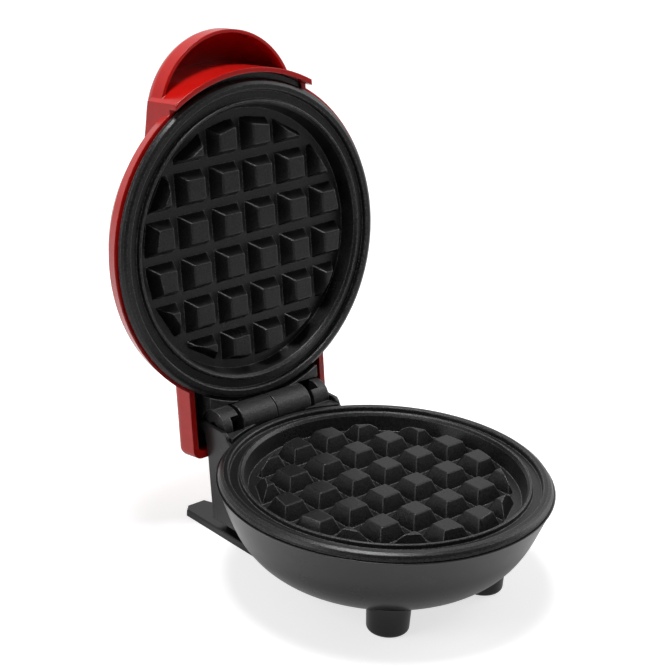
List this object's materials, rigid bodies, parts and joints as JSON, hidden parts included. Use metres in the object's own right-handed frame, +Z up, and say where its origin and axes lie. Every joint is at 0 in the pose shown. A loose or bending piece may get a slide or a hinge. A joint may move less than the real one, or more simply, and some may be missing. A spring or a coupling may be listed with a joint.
{
  "type": "mini waffle maker",
  "caption": "Small round waffle maker with a hinged domed lid that stands open and two gridded cooking plates.",
  "frame": {"origin": "on the table, on the underside of the rear foot, straight below the middle of the hinge axis", "axes": "+Z up, +X along the hinge axis, -Y towards the front of the lower plate"},
  "size_m": [0.1206, 0.1728, 0.1786],
  "materials": {
    "housing": "satin gloss",
    "lid": "high gloss",
    "plate": "dark non-stick coat, satin",
    "hinge": "fine grain satin",
    "pin": "black oxide",
    "steel": "plated",
    "element": "dull sheath",
    "sheet": "pressed sheet",
    "ceramic": "glazed ceramic",
    "gland": "matte",
    "lens": "clear red",
    "lamp": "clear"
  },
  "bodies": {
    "base": {"base_housing": "housing", "front_feet": "housing", "rear_foot": "housing", "foot_screws": "steel", "lower_plate": "plate", "lower_element": "element", "lower_pan": "sheet", "lower_plate_screws": "steel", "base_hinge": "hinge", "base_hinge_screws": "steel", "hinge_pin": "pin", "thermostat": "ceramic", "thermal_fuse": "element", "terminal_block": "ceramic", "cord_gland": "gland"},
    "lid": {"lid_shell": "lid", "lid_liner": "hinge", "lid_hinge": "hinge", "lid_hinge_screws": "steel", "upper_plate": "plate", "upper_element": "element", "upper_pan": "sheet", "upper_plate_screws": "steel", "indicator_lens": "lens", "indicator_lamp": "lamp"}
  },
  "joints": [
    {"name": "lid_hinge_turn", "type": "hinge", "parent": "base", "child": "lid", "pos_m": [0, 0, 0.0403], "axis": [-1, 0, 0], "range_deg": [-98.7, 0]}
  ]
}
